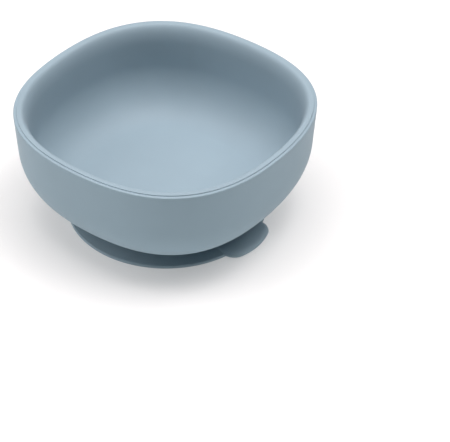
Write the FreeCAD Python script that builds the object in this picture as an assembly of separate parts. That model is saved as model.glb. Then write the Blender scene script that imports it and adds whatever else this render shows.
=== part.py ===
import FreeCAD, Part
import math
import os

# Suction bowl in one colour of soft silicone. Millimetres, +Z up.
# The origin is the centre of the suction base, on the table. The bowl's flat sides face +X, -X, +Y
# and -Y, its rounded corners lie between them, and the pull tab points along +X.

# Bowl, outside
rim_radius = 64.0            # mean radius of the rounded-square outline at the rim
squareness = 0.032           # corners stand out, and flat sides stand in, by this share of the radius
rim_height = 56.0
belly_height = 11.0          # underside of the bowl's flat bottom above the table
belly_radius = 40.7          # mean radius of that flat bottom
shoulder_height = 36.4       # where the curved belly meets the wall
wall_draft = 3.5             # how much a wall as tall as the bowl would narrow towards the table

# Bowl, inside
wall_thickness = 6.0         # between the wall's two faces, both carried up to the rim's height
inner_draft = 2.0            # the same narrowing for the inner wall
floor_thickness = 3.2
floor_radius = 37.0          # mean radius of the flat floor
inner_shoulder_height = 36.0
flare_width = 3.0            # how far the mouth's soft inner edge opens outward at the rim
flare_depth = 9.0            # how far below the rim that edge starts
rim_round = 1.5              # on the rim's outer edge

# Neck between the bowl and the suction cup
neck_radius = 28.0
neck_foot_height = 5.0       # lowest point of the neck
chamber_height = 7.5         # top of the domed chamber roof above the table

# Suction cup
lip_radius = 45.0
lip_inner_radius = 38.5      # where the sealing lip ends and the flexible skirt starts
lip_edge_height = 1.4
lip_edge_round = 0.5
lip_slope = 0.18             # rise of the lip's top face per millimetre towards the centre
lip_seat_width = 4.5         # width of the flat ring that touches the table
lip_undercut = 0.7           # height of the lip's underside at its inner edge
skirt_gap = 0.3              # free gap between the skirt and the neck
skirt_top = 9.8              # height of the skirt's top face at the neck
skirt_bend_radius = 40.0     # seen in section, the top face sags and the underside arches this much

# Pull tab
tab_half_width = 14.0
tab_length = 8.6             # from the hinge line to the tip
tab_top = 2.6
tab_underside = 0.8
tab_corner_radius = 6.5
tab_end_radius = 30.0
tab_edge_round = 1.5
tab_pad_radius = 40.0        # the tab's root pad starts this far from the centre, on the lip
tab_gap = 0.3                # free gap between the tab and the lip

# How finely the outlines are sampled
quarter_steps = 8
curve_sections = 10

tab_root = math.sqrt(lip_radius ** 2 - tab_half_width ** 2) - 0.5
axis_up = FreeCAD.Vector(0, 0, 1)
origin = FreeCAD.Vector(0, 0, 0)


def rounded_square(mean_radius, height):
    """Closed smooth outline whose radius swells at the four corners, one edge from flat to flat."""
    edges = []
    for quarter in range(4):
        points = []
        for step in range(quarter_steps + 1):
            angle = math.pi / 2 * (quarter + step / quarter_steps)
            radius = mean_radius * (1 - squareness * math.cos(4 * angle))
            points.append(FreeCAD.Vector(radius * math.cos(angle), radius * math.sin(angle), height))
        start_angle = math.pi / 2 * quarter
        start_tangent = FreeCAD.Vector(-math.sin(start_angle), math.cos(start_angle), 0)
        end_tangent = FreeCAD.Vector(-math.cos(start_angle), -math.sin(start_angle), 0)
        curve = Part.BSplineCurve()
        curve.interpolate(Points=points, InitialTangent=start_tangent, FinalTangent=end_tangent)
        edges.append(curve.toShape())
    return Part.Wire(edges)


def outer_wall_radius(height):
    return rim_radius - wall_draft * (rim_height - height) / rim_height


def inner_wall_radius(height):
    return rim_radius - wall_thickness - inner_draft * (rim_height - height) / rim_height


def quarter_turns():
    """Even steps through a right angle, one for each section of a curved stretch."""
    return [math.pi / 2 * index / (curve_sections - 1) for index in range(curve_sections)]


def bowl_form(bottom_radius, bottom_height, side_height, wall_top, wall_radius):
    """Solid with a flat bottom, a quarter-ellipse belly and a wall that widens up to its top."""
    sections = []
    for turn in quarter_turns():
        height = bottom_height + (side_height - bottom_height) * (1 - math.cos(turn))
        radius = bottom_radius + (wall_radius(height) - bottom_radius) * math.sin(turn)
        sections.append(rounded_square(radius, height))
    belly = Part.makeLoft(sections, True, False)
    top = rounded_square(wall_radius(wall_top), wall_top)
    return belly.fuse(Part.makeLoft([sections[-1], top], True, True))


def mouth_flare():
    """Space inside the mouth's soft edge, a quarter ellipse from the inner wall to the rim's flat top."""
    sections = []
    for turn in quarter_turns():
        height = rim_height - flare_depth * (1 - math.sin(turn))
        radius = inner_wall_radius(height) + flare_width * (1 - math.cos(turn))
        sections.append(rounded_square(radius, height))
    return Part.makeLoft(sections, True, False)


def flat_edges(shape, height):
    """Edges that lie flat at one height."""
    return [edge for edge in shape.Edges
            if abs(edge.BoundBox.ZMin - height) < 0.01 and abs(edge.BoundBox.ZMax - height) < 0.01]


def point(radius, height):
    return FreeCAD.Vector(radius, 0, height)


def revolve(edges):
    """Solid of revolution about Z from the edges of a closed outline in the XZ plane."""
    return Part.Face(Part.Wire(edges)).revolve(origin, axis_up, 360)


def lip_top(radius):
    """Height of the lip's sloping top face."""
    return lip_edge_height + lip_slope * (lip_radius - radius)


def rim_edges(shape):
    """Outer border of the rim's flat top."""
    def reach(edge):
        end = edge.Vertexes[0].Point
        return math.hypot(end.x, end.y)

    found = flat_edges(shape, rim_height)
    middle = (max(map(reach, found)) + min(map(reach, found))) / 2
    return [edge for edge in found if reach(edge) > middle]


def make_bowl_shell():
    """Floor, belly, wall and rounded rim in one piece."""
    outside = bowl_form(belly_radius, belly_height, shoulder_height, rim_height, outer_wall_radius)
    inside = bowl_form(floor_radius, belly_height + floor_thickness, inner_shoulder_height,
                       rim_height - flare_depth, inner_wall_radius)
    shell = outside.cut(inside).cut(mouth_flare())
    return shell.makeFillet(rim_round, rim_edges(shell))


def make_suction_neck():
    """Short round stem under the bowl, hollowed from below into the roof of the suction chamber."""
    stem = Part.makeCylinder(neck_radius, belly_height - neck_foot_height, point(0, neck_foot_height))
    dome_rise = chamber_height - neck_foot_height
    dome_radius = (neck_radius ** 2 + dome_rise ** 2) / (2 * dome_rise)
    dome = Part.makeSphere(dome_radius, point(0, chamber_height - dome_radius))
    return stem.cut(dome)


def bowed_arc(start, end, radius, side):
    """Arc between two points that sags below their chord (side -1) or arches above it (side 1)."""
    chord = end - start
    across = FreeCAD.Vector(-chord.z, 0, chord.x)
    across.normalize()
    if across.z < 0:
        across = across * -1
    rise = radius - math.sqrt(radius ** 2 - (chord.Length / 2) ** 2)
    return Part.Arc(start, (start + end) * 0.5 + across * rise * side, end).toShape()


def make_suction_skirt():
    """Flexible flared wall of the suction cup, from the neck out to the sealing lip."""
    inner = neck_radius + skirt_gap
    bottom_inner = point(inner, neck_foot_height)
    bottom_outer = point(lip_inner_radius, lip_undercut)
    top_outer = point(lip_inner_radius, lip_top(lip_inner_radius))
    top_inner = point(inner, skirt_top)
    return revolve([
        bowed_arc(bottom_inner, bottom_outer, skirt_bend_radius, 1),
        Part.LineSegment(bottom_outer, top_outer).toShape(),
        bowed_arc(top_outer, top_inner, skirt_bend_radius, -1),
        Part.LineSegment(top_inner, bottom_inner).toShape(),
    ])


def make_lip_ring():
    """The whole round lip: flat seat, lifted underside, sloping top and rounded edge."""
    seat_inner = point(lip_radius - lip_seat_width, 0)
    seat_outer = point(lip_radius, 0)
    edge_top = point(lip_radius, lip_edge_height)
    inner_top = point(lip_inner_radius, lip_top(lip_inner_radius))
    inner_bottom = point(lip_inner_radius, lip_undercut)
    corners = [seat_inner, seat_outer, edge_top, inner_top, inner_bottom, seat_inner]
    ring = revolve([Part.LineSegment(a, b).toShape() for a, b in zip(corners, corners[1:])])
    return ring.makeFillet(lip_edge_round, flat_edges_at_radius(ring, lip_edge_height, lip_radius))


def flat_edges_at_radius(shape, height, radius):
    return [edge for edge in flat_edges(shape, height) if abs(edge.BoundBox.XMax - radius) < 0.1]


def tab_outline(start):
    """Tongue from X = start to the tip: straight sides, round corners, slightly bulged end."""
    tip = tab_root + tab_length
    end_centre = tip - tab_end_radius
    corner_y = tab_half_width - tab_corner_radius
    corner_x = end_centre + math.sqrt((tab_end_radius - tab_corner_radius) ** 2 - corner_y ** 2)
    lean = math.atan2(corner_y, corner_x - end_centre)
    middle = (lean + math.pi / 2) / 2

    def at(x, y):
        return FreeCAD.Vector(x, y, 0)

    def on_corner(side, angle):
        return at(corner_x + tab_corner_radius * math.cos(angle),
                  side * (corner_y + tab_corner_radius * math.sin(angle)))

    edges = [Part.LineSegment(at(start, tab_half_width), at(start, -tab_half_width)).toShape()]
    edges.append(Part.LineSegment(at(start, -tab_half_width), on_corner(-1, math.pi / 2)).toShape())
    edges.append(Part.Arc(on_corner(-1, math.pi / 2), on_corner(-1, middle), on_corner(-1, lean)).toShape())
    edges.append(Part.Arc(on_corner(-1, lean), at(tip, 0), on_corner(1, lean)).toShape())
    edges.append(Part.Arc(on_corner(1, lean), on_corner(1, middle), on_corner(1, math.pi / 2)).toShape())
    edges.append(Part.LineSegment(on_corner(1, math.pi / 2), at(start, tab_half_width)).toShape())
    return Part.Face(Part.Wire(edges))


def tab_plate(start):
    """The tongue at its full thickness with its top edge rounded off."""
    plate = tab_outline(start).extrude(FreeCAD.Vector(0, 0, tab_top - tab_underside))
    plate.translate(FreeCAD.Vector(0, 0, tab_underside))
    rounded = [edge for edge in flat_edges(plate, tab_top) if edge.BoundBox.XMax > start + 0.01]
    return plate.makeFillet(tab_edge_round, rounded)


def slab(low_x, high_x):
    """Wide block between two planes across X, used to split the suction cup at the hinge line."""
    return Part.makeBox(high_x - low_x, 4 * lip_radius, 4 * tab_top,
                        FreeCAD.Vector(low_x, -2 * lip_radius, -tab_top))


def make_sealing_lip():
    """The lip up to the hinge line, with the raised pad that the tab grows from."""
    pad_start = Part.makeCylinder(tab_pad_radius, 4 * tab_top, point(0, -tab_top))
    pad = tab_plate(lip_inner_radius - 2 * tab_edge_round).cut(pad_start)
    lip = make_lip_ring().fuse(pad).removeSplitter()
    return lip.common(slab(-2 * lip_radius, tab_root))


def make_pull_tab():
    """The tab beyond the hinge line, with the piece of the lip that lifts with it."""
    plate = tab_plate(lip_inner_radius)
    tab = make_lip_ring().fuse(plate).removeSplitter()
    return tab.common(slab(tab_root + tab_gap, 2 * lip_radius))


makers = {
    "bowl_shell": make_bowl_shell,
    "suction_neck": make_suction_neck,
    "suction_skirt": make_suction_skirt,
    "sealing_lip": make_sealing_lip,
    "pull_tab": make_pull_tab,
}

os.makedirs("parts", exist_ok=True)
for name, make in makers.items():
    shape = make()
    box = shape.BoundBox
    print(name, "valid", shape.isValid(), "solids", len(shape.Solids), "volume", round(shape.Volume),
          "x", round(box.XMin, 2), round(box.XMax, 2), "z", round(box.ZMin, 2), round(box.ZMax, 2))
    shape.exportStep("parts/" + name + ".step")
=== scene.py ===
import math

import bmesh
import bpy
import numpy as np
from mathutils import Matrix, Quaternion, Vector


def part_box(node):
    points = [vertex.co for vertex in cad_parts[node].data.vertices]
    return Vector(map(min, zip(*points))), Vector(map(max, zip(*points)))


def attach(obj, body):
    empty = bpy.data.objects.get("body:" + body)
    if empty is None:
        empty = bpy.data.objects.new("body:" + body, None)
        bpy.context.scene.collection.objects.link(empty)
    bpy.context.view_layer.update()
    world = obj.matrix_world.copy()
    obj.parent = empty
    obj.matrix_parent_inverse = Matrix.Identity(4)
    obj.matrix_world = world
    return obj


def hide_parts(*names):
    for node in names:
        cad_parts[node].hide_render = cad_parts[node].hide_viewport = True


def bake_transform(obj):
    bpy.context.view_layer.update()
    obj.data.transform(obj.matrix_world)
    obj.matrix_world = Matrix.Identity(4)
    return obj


# Suction bowl in matte silicone. Metres, in the CAD frame: +Z up, the pull tab points along +X.

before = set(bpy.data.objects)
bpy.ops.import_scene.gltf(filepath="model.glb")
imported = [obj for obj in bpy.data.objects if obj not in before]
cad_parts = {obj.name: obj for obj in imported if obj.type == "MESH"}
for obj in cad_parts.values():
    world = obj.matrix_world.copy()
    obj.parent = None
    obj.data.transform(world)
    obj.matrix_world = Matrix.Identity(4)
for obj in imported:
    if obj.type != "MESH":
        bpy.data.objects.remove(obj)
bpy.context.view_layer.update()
MM = 0.001


# Sizes read from the frame
shell_low, shell_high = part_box("bowl_shell")
neck_low, neck_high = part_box("suction_neck")
skirt_low, skirt_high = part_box("suction_skirt")
lip_low, lip_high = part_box("sealing_lip")
tab_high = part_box("pull_tab")[1]
rim_z = shell_high.z
belly_z = shell_low.z
neck_radius = neck_high.x
neck_foot_z = neck_low.z
skirt_top_z = skirt_high.z
lip_radius = -lip_low.x
lip_bottom_z = lip_low.z
lip_inner_radius = skirt_high.x
lip_inner_z = lip_high.z       # top of the lip where the skirt meets it
lip_undercut_z = skirt_low.z   # underside of the lip where the skirt meets it
tab_tip_x = tab_high.x
tab_top_z = tab_high.z

# Shape of the bowl
squareness = 0.032             # corners stand out, and flat sides stand in, by this share of the radius
rim_radius = 63.99 * MM        # mean radius of the rounded-square outline at the rim
wall_draft = 3.5 / 56.0        # mean radius lost per unit of height below the rim
belly_radius = 40.7 * MM
shoulder_z = 36.4 * MM
wall_thickness = 6.0 * MM      # at the rim, before its inner edge is flared
inner_draft = 2.0 / 56.0
inner_shoulder_z = 36.0 * MM
floor_thickness = 3.2 * MM
floor_z = belly_z + floor_thickness
floor_radius = 37.0 * MM
flare_width = 3.0 * MM         # the mouth's soft inner edge, a quarter ellipse
flare_depth = 9.0 * MM
parting_step_width = 1.3 * MM  # the mould's parting line leaves a small step round the rim's outer edge
parting_step_depth = 0.45 * MM
parting_step_round = 0.22 * MM
rim_edge_round = 0.4 * MM
wall_top_depth = 1.6 * MM      # the rim's edge stands out as far as the wall does this far below it

# Shape of the neck
chamber_z = 7.5 * MM           # top of the suction chamber's roof
neck_fillet = 1.6 * MM
neck_foot_round = 0.6 * MM
embed = 0.4 * MM               # how far a piece runs into the one that it is moulded to

# Shape of the skirt. The pulls of its section's two curves are placed by shares of the skirt's width
skirt_top_run_in = 0.25        # top: how far out from the neck
skirt_top_drop = 0.5           # and how far down, as a share of the skirt's height
skirt_top_run_out = 0.45       # top: how far in from the lip, in line with the lip's slope
skirt_arch_run = 0.35          # underside: how far in from both ends
skirt_arch_rise = 0.2          # how far up from the lip's end
skirt_arch_dip = 0.08          # and how far down from the neck's end

# Shape of the lip
lip_edge_z = 1.4 * MM          # where the lip's sloping top would meet its side
lip_edge_round = 0.5 * MM
lip_slope = (lip_inner_z - lip_edge_z) / (lip_radius - lip_inner_radius)
lip_seat_width = 4.5 * MM
lip_seat_bevel = 0.12 * MM

# Shape of the tab
tab_half_width = 14.0 * MM
tab_underside_z = 0.8 * MM
tab_bottom_bevel = 0.15 * MM
tab_corner_radius = 6.5 * MM
tab_end_radius = 30.0 * MM
tab_edge_round = 1.5 * MM      # how far down the tab's top edge is rounded over
tab_edge_width = 2.2 * MM      # and how far in
tab_buried_radius = 39.6 * MM  # where the tab's root ends, inside the lip
tab_sector = math.radians(21)  # half of the stretch of lip that is built with the tab

# Mesh fineness
ring_columns = 192             # divisible by 8, so that a square grid of quads closes each disc
lip_columns = 176              # round the lip, all but the stretch at the tab
tab_lip_columns = 48           # round that stretch
first_disc_share = 0.55        # reach of the grids that close the bowl's floor and the chamber's roof
last_disc_share = 0.6          # and of those that close the bowl's underside and the neck's top
crease_angle = math.radians(40)

# Silicone: the linear colour of each moulding, and the surface that they share. Both are one silicone;
# the base's colour is the bowl's painted lighter, as painted light that lifts the base out of the shade
# under the bowl
bowl_colour = (0.25, 0.346, 0.405)
# painted light: the bowl's silicone made lighter, so the base in the bowl's shade reads brighter
base_colour_painted_lighter = (0.272, 0.375, 0.436)
tone_spread = 0.03             # the tone wanders by this share, lighter and darker
tone_band = (0.3, 0.7)         # between these values of its noise
roughness_range = (0.46, 0.6)
grain_strength = 0.12
grain_depth = 0.04 * MM

# Camera, in degrees, metres and millimetres of lens
camera_azimuth = 36.16
camera_elevation = 39.4
camera_roll = 0.83
camera_distance = 0.8
camera_lens = 142.98
camera_sensor = 36
camera_aim = (0.02632, -0.01179, 0)  # to the right of the bowl's axis, away from the camera and up

# Studio: square softboxes round the bowl, each with its bearing (0 is behind the bowl as the camera
# sees it, 90 is to its right), its height above the table, both in degrees, and its radiance
softbox_distance = 1.5
softbox_width = 1.0
softbox_colour = (1.09, 0.99, 0.975)
softboxes = {
    "overhead": (0, 90, 4.9),
    "right_high": (90, 62, 4.6),
    "left_high": (270, 62, 1.6),
    "left_low": (270, 34, 2.2),
    "back": (0, 34, 0.5),
    "front_left": (225, 40, 0.6),
}
horizon_glow = 1.0             # brightness of the backdrop at the level of the table
horizon_fade_end = 0.18        # sine of the angle above the table where the backdrop has faded out
floor_reach = 1.2
floor_colour = (0.55, 0.58, 0.585)
floor_glow = 0.3               # the table gives off a little light, so that its shadows stay pale


# ---------------------------------------------------------------- mesh helpers

def add_piece(name, vertices, faces, material):
    """Mesh object from vertices and faces, smooth except where faces meet at a crease."""
    mesh = bpy.data.meshes.new(name)
    mesh.from_pydata([tuple(v) for v in vertices], [], faces)
    work = bmesh.new()
    work.from_mesh(mesh)
    bmesh.ops.recalc_face_normals(work, faces=work.faces)
    for face in work.faces:
        face.smooth = True
    for edge in work.edges:
        edge.smooth = len(edge.link_faces) < 2 or edge.calc_face_angle() < crease_angle
    work.to_mesh(mesh)
    work.free()
    mesh.materials.append(material)
    piece = bpy.data.objects.new(name, mesh)
    bpy.context.scene.collection.objects.link(piece)
    return piece


def spaced(start, end, steps):
    """Evenly spaced points from one end to the other, without the first."""
    return [(start[0] + (end[0] - start[0]) * i / steps, start[1] + (end[1] - start[1]) * i / steps)
            for i in range(1, steps + 1)]


def arc(centre, radius, start, end, steps):
    """Points on an arc, without the first. Angles are in degrees, 0 is outward and 90 is up."""
    angles = [math.radians(start + (end - start) * i / steps) for i in range(1, steps + 1)]
    return [(centre[0] + radius * math.cos(a), centre[1] + radius * math.sin(a)) for a in angles]


def bezier(start, start_pull, end_pull, end, steps):
    """Smooth curve between two points, without the first. It leaves each end towards its pull."""
    points = []
    corners = (start, start_pull, end_pull, end)
    for i in range(1, steps + 1):
        t = i / steps
        weights = ((1 - t) ** 3, 3 * t * (1 - t) ** 2, 3 * t * t * (1 - t), t ** 3)
        points.append(tuple(sum(w * c[k] for w, c in zip(weights, corners)) for k in (0, 1)))
    return points


def square_share(angle):
    """How far the rounded-square outline stands out at an angle, as a share of its mean radius."""
    return 1 - squareness * math.cos(4 * angle)


def round_share(angle):
    """The same for a round outline."""
    return 1.0


def lathe(profile, share_at, closed=False):
    """Grid of quads: the (radius, z) profile carried round Z, widened at each angle by share_at.
    A closed profile is joined from its last point to its first."""
    vertices = []
    faces = []
    rows = len(profile)
    for radius, z in profile:
        for column in range(ring_columns):
            angle = 2 * math.pi * column / ring_columns
            reach = radius * share_at(angle)
            vertices.append((reach * math.cos(angle), reach * math.sin(angle), z))
    for row in range(rows if closed else rows - 1):
        here = row * ring_columns
        there = (row + 1) % rows * ring_columns
        for column in range(ring_columns):
            after = (column + 1) % ring_columns
            faces.append((here + column, here + after, there + after, there + column))
    return vertices, faces


def fill_patch(vertices, faces, low, high, left, right, height=None):
    """Square grid of quads inside four borders of vertex numbers. left and right run from low to high.
    height gives z from (x, y) inside a domed patch; otherwise it follows from the borders."""
    across = len(low) - 1
    up = len(left) - 1
    index = {}
    for i in range(across + 1):
        index[(i, 0)] = low[i]
        index[(i, up)] = high[i]
    for j in range(up + 1):
        index[(0, j)] = left[j]
        index[(across, j)] = right[j]

    def at(i, j):
        return np.array(vertices[index[(i, j)]])

    for j in range(1, up):
        for i in range(1, across):
            u = i / across
            v = j / up
            place = ((1 - v) * at(i, 0) + v * at(i, up) + (1 - u) * at(0, j) + u * at(across, j)
                     - (1 - u) * (1 - v) * at(0, 0) - u * (1 - v) * at(across, 0)
                     - (1 - u) * v * at(0, up) - u * v * at(across, up))
            if height:
                place[2] = height(place[0], place[1])
            index[(i, j)] = len(vertices)
            vertices.append(tuple(place))
    for j in range(up):
        for i in range(across):
            faces.append((index[(i, j)], index[(i + 1, j)], index[(i + 1, j + 1)], index[(i, j + 1)]))


def close_disc(vertices, faces, start, height=None):
    """Fills a whole ring of vertices, taken as the four borders of a square grid."""
    side = ring_columns // 4

    def border(quarter):
        first = ring_columns // 8 + quarter * side
        return [start + (first + i) % ring_columns for i in range(side + 1)]

    fill_patch(vertices, faces, border(0), border(2)[::-1], border(3)[::-1], border(1), height)


# ---------------------------------------------------------------- bowl

def wall_radius(z):
    return rim_radius - wall_draft * (rim_z - z)


def inner_wall_radius(z):
    return rim_radius - wall_thickness - inner_draft * (rim_z - z)


def quarter_curve(flat_radius, flat_z, side_z, radius_at, steps):
    """Quarter ellipse from the edge of a flat bottom up to the side wall, without the first point."""
    points = []
    for i in range(1, steps + 1):
        turn = math.pi / 2 * i / steps
        z = flat_z + (side_z - flat_z) * (1 - math.cos(turn))
        points.append((flat_radius + (radius_at(z) - flat_radius) * math.sin(turn), z))
    return points


def mouth_flare(steps):
    """Inner edge of the mouth, opening from the wall to the rim's flat top, without the first point."""
    points = []
    for i in range(1, steps + 1):
        turn = math.pi / 2 * i / steps
        z = rim_z - flare_depth * (1 - math.sin(turn))
        points.append((inner_wall_radius(z) + flare_width * (1 - math.cos(turn)), z))
    return points


def bowl_profile():
    """Section of the bowl from the middle of its floor, over the rim and down to its underside."""
    flare_z = rim_z - flare_depth
    inner_end = (inner_wall_radius(inner_shoulder_z), inner_shoulder_z)
    step_z = rim_z - parting_step_depth
    rim_reach = wall_radius(rim_z - wall_top_depth)
    riser_radius = rim_reach - parting_step_width
    top_edge = (riser_radius - parting_step_round, rim_z)
    top_centre = (riser_radius - parting_step_round, rim_z - parting_step_round)
    edge_centre = (rim_reach - rim_edge_round, step_z - rim_edge_round)
    wall_lean = math.degrees(math.atan(wall_draft))
    side_end = (wall_radius(shoulder_z), shoulder_z)

    points = [(floor_radius * first_disc_share, floor_z)]
    points += spaced(points[-1], (floor_radius, floor_z), steps=6)
    points += quarter_curve(floor_radius, floor_z, inner_shoulder_z, inner_wall_radius, steps=26)
    points += spaced(inner_end, (inner_wall_radius(flare_z), flare_z), steps=3)
    points += mouth_flare(steps=18)
    points += spaced(points[-1], top_edge, steps=4)
    points += arc(top_centre, parting_step_round, 90, 0, steps=5)
    points += spaced(points[-1], (riser_radius, step_z), steps=3)
    points += spaced(points[-1], (edge_centre[0], step_z), steps=3)
    points += arc(edge_centre, rim_edge_round, 90, -wall_lean, steps=5)
    points += spaced(points[-1], side_end, steps=8)
    points += quarter_curve(belly_radius, belly_z, shoulder_z, wall_radius, steps=28)[-2::-1]
    points += [(belly_radius, belly_z)]
    points += spaced(points[-1], (belly_radius * last_disc_share, belly_z), steps=6)
    return points


def make_bowl(material):
    vertices, faces = lathe(bowl_profile(), square_share)
    last_ring = len(vertices) - ring_columns
    close_disc(vertices, faces, 0)
    close_disc(vertices, faces, last_ring)
    bowl = add_piece("bowl", vertices, faces, material)
    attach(bowl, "bowl")
    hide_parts("bowl_shell")


# ---------------------------------------------------------------- neck and skirt

def dome_height(x, y):
    """Roof of the suction chamber: a shallow dome over the neck's foot."""
    rise = chamber_z - neck_foot_z
    sphere = (neck_radius ** 2 + rise ** 2) / (2 * rise)
    return chamber_z - sphere + math.sqrt(sphere ** 2 - x ** 2 - y ** 2)


def make_neck(material):
    """Stem under the bowl, spread into the bowl's underside by a fillet, with a domed underside."""
    dome_steps = 10
    dome_start = neck_radius * first_disc_share
    foot_inner = neck_radius - neck_foot_round
    foot_centre = (foot_inner, dome_height(foot_inner, 0) + neck_foot_round)
    fillet_centre = (neck_radius + neck_fillet, belly_z - neck_fillet)
    top_z = belly_z + embed

    points = []
    for i in range(dome_steps + 1):
        radius = dome_start + (foot_inner - dome_start) * i / dome_steps
        points.append((radius, dome_height(radius, 0)))
    points += arc(foot_centre, neck_foot_round, -90, 0, steps=5)
    points += spaced(points[-1], (neck_radius, belly_z - neck_fillet), steps=6)
    points += arc(fillet_centre, neck_fillet, 180, 90, steps=6)
    points += [(neck_radius + neck_fillet, top_z)]
    points += spaced(points[-1], (neck_radius * last_disc_share, top_z), steps=6)

    vertices, faces = lathe(points, round_share)
    last_ring = len(vertices) - ring_columns
    close_disc(vertices, faces, 0, dome_height)
    close_disc(vertices, faces, last_ring)
    neck = add_piece("neck", vertices, faces, material)
    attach(neck, "bowl")
    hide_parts("suction_neck")


def make_skirt(material):
    """Flared wall of the suction cup. Its top runs out level with the lip and its underside arches."""
    width = lip_inner_radius - neck_radius
    height = skirt_top_z - lip_inner_z
    top_inner = (neck_radius, skirt_top_z)
    top_outer = (lip_inner_radius, lip_inner_z)
    bottom_outer = (lip_inner_radius, lip_undercut_z)
    bottom_inner = (neck_radius, neck_foot_z)
    run_out = width * skirt_top_run_out
    arch_run = width * skirt_arch_run
    top_inner_pull = (neck_radius + width * skirt_top_run_in, skirt_top_z - height * skirt_top_drop)
    top_outer_pull = (lip_inner_radius - run_out, lip_inner_z + run_out * lip_slope)
    bottom_outer_pull = (lip_inner_radius - arch_run, lip_undercut_z + width * skirt_arch_rise)
    bottom_inner_pull = (neck_radius + arch_run, neck_foot_z - width * skirt_arch_dip)

    points = [(neck_radius - embed, skirt_top_z), top_inner]
    points += bezier(top_inner, top_inner_pull, top_outer_pull, top_outer, steps=16)
    points += spaced(top_outer, bottom_outer, steps=3)
    points += bezier(bottom_outer, bottom_outer_pull, bottom_inner_pull, bottom_inner, steps=14)
    points += [(neck_radius - embed, neck_foot_z)]
    points += spaced(points[-1], points[0], steps=4)[:-1]

    vertices, faces = lathe(points, round_share, closed=True)
    skirt = add_piece("skirt", vertices, faces, material)
    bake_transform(skirt)
    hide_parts("suction_skirt")


# ---------------------------------------------------------------- lip and tab

def lip_profile():
    """Section of the lip, from its inner top edge out and back along the underside."""
    round_start = lip_radius - lip_edge_round
    round_z = lip_edge_z + lip_slope * lip_edge_round
    edge_centre = (round_start, round_z - lip_edge_round)

    points = [(lip_inner_radius, lip_inner_z)]
    points += spaced(points[-1], (round_start, round_z), steps=10)
    points += arc(edge_centre, lip_edge_round, 90, 0, steps=7)
    points += spaced(points[-1], (lip_radius, lip_seat_bevel), steps=2)
    points += [(lip_radius - lip_seat_bevel, lip_bottom_z)]
    points += spaced(points[-1], (lip_radius - lip_seat_width, lip_bottom_z), steps=5)
    points += spaced(points[-1], (lip_inner_radius, lip_undercut_z), steps=3)
    points += spaced(points[-1], points[0], steps=3)[:-1]
    return points


def ring_stretch(profile, start, end, columns):
    """Closed solid: the (radius, z) section carried round Z from one angle to another."""
    vertices = []
    faces = []
    rows = len(profile)
    for column in range(columns + 1):
        angle = start + (end - start) * column / columns
        for radius, z in profile:
            vertices.append((radius * math.cos(angle), radius * math.sin(angle), z))
    for column in range(columns):
        here = column * rows
        there = here + rows
        for row in range(rows):
            after = (row + 1) % rows
            faces.append((here + row, here + after, there + after, there + row))
    faces.append(tuple(range(rows)))
    faces.append(tuple(range(columns * rows, (columns + 1) * rows)))
    return vertices, faces


def make_lip(material):
    """The round lip, all but the stretch that lifts with the tab."""
    vertices, faces = ring_stretch(lip_profile(), tab_sector, 2 * math.pi - tab_sector, lip_columns)
    lip = add_piece("lip", vertices, faces, material)
    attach(lip, "base")
    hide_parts("sealing_lip")


def tab_border(inset):
    """Points in plan round the tab, inset from its outline, as four borders: one side, the end,
    the other side, and the arc that is buried in the lip. The end meets each side in mid-corner."""
    side_steps = 10
    corner_steps = 6  # in each half of a corner
    end_steps = 10    # in each half of the end
    end_centre_x = tab_tip_x - tab_end_radius
    corner_y = tab_half_width - tab_corner_radius
    corner_x = end_centre_x + math.sqrt((tab_end_radius - tab_corner_radius) ** 2 - corner_y ** 2)
    corner_reach = tab_corner_radius - inset
    end_reach = tab_end_radius - inset
    side_y = tab_half_width - inset
    root_x = math.sqrt(tab_buried_radius ** 2 - side_y ** 2)
    root_spread = math.asin(side_y / tab_buried_radius)
    side_angle = math.pi / 2
    end_angle = math.atan2(corner_y, corner_x - end_centre_x)
    mid_angle = (end_angle + side_angle) / 2

    def on_corner(angle):
        return (corner_x + corner_reach * math.cos(angle), corner_y + corner_reach * math.sin(angle))

    def on_end(angle):
        return (end_centre_x + end_reach * math.cos(angle), end_reach * math.sin(angle))

    def on_root(angle):
        return (tab_buried_radius * math.cos(angle), tab_buried_radius * math.sin(angle))

    side = [(root_x + (corner_x - root_x) * i / side_steps, side_y) for i in range(side_steps + 1)]
    side += [on_corner(side_angle + (mid_angle - side_angle) * i / corner_steps)
             for i in range(1, corner_steps + 1)]
    half_end = [on_corner(mid_angle + (end_angle - mid_angle) * i / corner_steps)
                for i in range(corner_steps + 1)]
    half_end += [on_end(end_angle * (1 - i / end_steps)) for i in range(1, end_steps + 1)]
    end = half_end + [(x, -y) for x, y in half_end[-2::-1]]
    other_side = [(x, -y) for x, y in side[::-1]]
    root_steps = len(end) - 1
    root = [on_root(root_spread * (2 * i / root_steps - 1)) for i in range(root_steps + 1)]
    return [side, end, other_side, root]


def tab_tongue():
    """Closed solid of the tab: a flat tongue whose top edge is rounded over."""
    edge_steps = 8
    rings = [(tab_bottom_bevel, tab_underside_z), (0, tab_underside_z + tab_bottom_bevel)]
    for i in range(edge_steps + 1):
        turn = math.pi / 2 * i / edge_steps
        rings.append((tab_edge_width * (1 - math.cos(turn)),
                      tab_top_z - tab_edge_round * (1 - math.sin(turn))))
    vertices = []
    faces = []
    for inset, z in rings:
        for border in tab_border(inset):
            vertices += [(x, y, z) for x, y in border[:-1]]
    count = len(vertices) // len(rings)
    for ring in range(len(rings) - 1):
        here = ring * count
        there = here + count
        for i in range(count):
            after = (i + 1) % count
            faces.append((here + i, here + after, there + after, there + i))

    lengths = [len(border) - 1 for border in tab_border(0)]
    starts = [sum(lengths[:k]) for k in range(4)]
    for ring in (0, len(rings) - 1):
        borders = [[ring * count + (starts[k] + i) % count for i in range(lengths[k] + 1)]
                   for k in range(4)]
        side, end, other_side, root = borders
        fill_patch(vertices, faces, side, other_side[::-1], root[::-1], end)
    return vertices, faces


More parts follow.
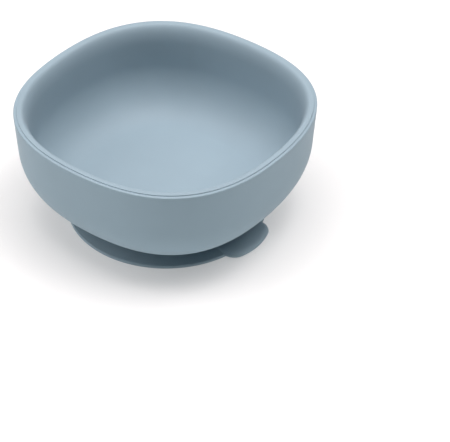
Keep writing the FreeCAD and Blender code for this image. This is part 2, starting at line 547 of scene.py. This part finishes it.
def make_tab(material):
    """The pull tab and the stretch of lip that it grows from, built as one piece. On the bowl, they
    bend up together at the root.
    """
    vertices, faces = ring_stretch(lip_profile(), -tab_sector, tab_sector, tab_lip_columns)
    tongue_vertices, tongue_faces = tab_tongue()
    first = len(vertices)
    vertices += tongue_vertices
    faces += [tuple(first + v for v in face) for face in tongue_faces]
    tab = add_piece("tab", vertices, faces, material)
    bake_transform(tab)
    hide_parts("pull_tab")


# ---------------------------------------------------------------- material

def silicone(name, colour):
    """Matte silicone: a fine moulded grain, a faint uneven tone and a soft powdery sheen."""
    material = bpy.data.materials.new(name)
    material.use_nodes = True
    nodes, links = material.node_tree.nodes, material.node_tree.links
    shader = nodes["Principled BSDF"]
    place = nodes.new("ShaderNodeTexCoord")

    def noise(scale, detail, roughness):
        node = nodes.new("ShaderNodeTexNoise")
        node.inputs["Scale"].default_value = scale
        node.inputs["Detail"].default_value = detail
        node.inputs["Roughness"].default_value = roughness
        links.new(place.outputs["Object"], node.inputs["Vector"])
        return node.outputs["Fac"]

    tone = nodes.new("ShaderNodeValToRGB")
    for stop, position, sign in zip(tone.color_ramp.elements, tone_band, (-1, 1)):
        stop.position = position
        stop.color = [c * (1 + sign * tone_spread) for c in colour] + [1]
    links.new(noise(scale=22, detail=3, roughness=0.55), tone.inputs["Fac"])
    links.new(tone.outputs["Color"], shader.inputs["Base Color"])

    polish = nodes.new("ShaderNodeMapRange")
    polish.inputs["To Min"].default_value = roughness_range[0]
    polish.inputs["To Max"].default_value = roughness_range[1]
    links.new(noise(scale=60, detail=4, roughness=0.6), polish.inputs["Value"])
    links.new(polish.outputs["Result"], shader.inputs["Roughness"])

    grain = nodes.new("ShaderNodeBump")
    grain.inputs["Strength"].default_value = grain_strength
    grain.inputs["Distance"].default_value = grain_depth
    links.new(noise(scale=2600, detail=2, roughness=0.5), grain.inputs["Height"])
    links.new(grain.outputs["Normal"], shader.inputs["Normal"])

    shader.inputs["IOR"].default_value = 1.41
    shader.inputs["Specular IOR Level"].default_value = 0.25
    shader.inputs["Sheen Weight"].default_value = 0.03
    shader.inputs["Sheen Roughness"].default_value = 0.5
    return material


# ---------------------------------------------------------------- stage, light and camera

def add_floor():
    corners = [(-1, -1), (1, -1), (1, 1), (-1, 1)]
    mesh = bpy.data.meshes.new("floor")
    mesh.from_pydata([(x * floor_reach, y * floor_reach, 0) for x, y in corners], [], [(0, 1, 2, 3)])
    floor = bpy.data.objects.new("floor", mesh)
    bpy.context.scene.collection.objects.link(floor)
    paper = bpy.data.materials.new("floor")
    paper.use_nodes = True
    shader = paper.node_tree.nodes["Principled BSDF"]
    shader.inputs["Base Color"].default_value = (*floor_colour, 1)
    shader.inputs["Emission Color"].default_value = (1, 1, 1, 1)
    shader.inputs["Emission Strength"].default_value = floor_glow
    shader.inputs["Roughness"].default_value = 0.9
    shader.inputs["Specular IOR Level"].default_value = 0.0
    mesh.materials.append(paper)


def camera_side(right, away, up):
    """Point given as seen by the camera: metres to the right, away from it and up."""
    turn = math.radians(camera_azimuth)
    return (right * math.cos(turn) - away * math.sin(turn),
            right * math.sin(turn) + away * math.cos(turn), up)


def add_softbox(name, bearing, height, radiance):
    """Square soft light that faces the bowl."""
    light = bpy.data.lights.new(name, "AREA")
    light.size = softbox_width
    light.color = softbox_colour
    light.energy = radiance * math.pi * softbox_width ** 2
    turn = math.radians(bearing)
    rise = math.radians(height)
    level = softbox_distance * math.cos(rise)
    middle = Vector((0, 0, rim_z / 2))
    box = bpy.data.objects.new(name, light)
    box.location = camera_side(level * math.sin(turn), level * math.cos(turn),
                               softbox_distance * math.sin(rise))
    box.rotation_mode = "QUATERNION"
    box.rotation_quaternion = (middle - box.location).to_track_quat("-Z", "Y")
    bpy.context.scene.collection.objects.link(box)


def add_light():
    """Softboxes, and a pale backdrop low round the horizon."""
    world = bpy.data.worlds.new("studio")
    world.use_nodes = True
    nodes, links = world.node_tree.nodes, world.node_tree.links
    direction = nodes.new("ShaderNodeTexCoord")
    split = nodes.new("ShaderNodeSeparateXYZ")
    fade = nodes.new("ShaderNodeMapRange")
    fade.inputs["From Max"].default_value = horizon_fade_end
    fade.inputs["To Min"].default_value = 1
    fade.inputs["To Max"].default_value = 0
    links.new(direction.outputs["Generated"], split.inputs["Vector"])
    links.new(split.outputs["Z"], fade.inputs["Value"])
    links.new(fade.outputs["Result"], nodes["Background"].inputs["Color"])
    nodes["Background"].inputs["Strength"].default_value = horizon_glow
    bpy.context.scene.world = world
    for name, (bearing, height, radiance) in softboxes.items():
        add_softbox(name, bearing, height, radiance)
    bpy.context.scene.view_settings.view_transform = "Standard"


def add_camera():
    azimuth = math.radians(camera_azimuth)
    elevation = math.radians(camera_elevation)
    back = Vector((math.sin(azimuth) * math.cos(elevation), -math.cos(azimuth) * math.cos(elevation),
                   math.sin(elevation)))
    level = (-back).to_track_quat("-Z", "Y")
    camera = bpy.data.objects.new("camera", bpy.data.cameras.new("camera"))
    camera.data.lens = camera_lens
    camera.data.sensor_width = camera_sensor
    camera.location = Vector(camera_side(*camera_aim)) + back * camera_distance
    camera.rotation_mode = "QUATERNION"
    camera.rotation_quaternion = level @ Quaternion((0, 0, 1), math.radians(camera_roll))
    bpy.context.scene.collection.objects.link(camera)
    bpy.context.scene.camera = camera


add_floor()
add_light()
add_camera()
bowl_silicone = silicone("bowl_silicone", bowl_colour)
# the base's material takes the colour painted lighter, as painted light against the shade under the
# bowl
base_silicone = silicone("base_silicone", base_colour_painted_lighter)
make_bowl(bowl_silicone)
make_neck(bowl_silicone)
make_skirt(base_silicone)
make_lip(base_silicone)
make_tab(base_silicone)
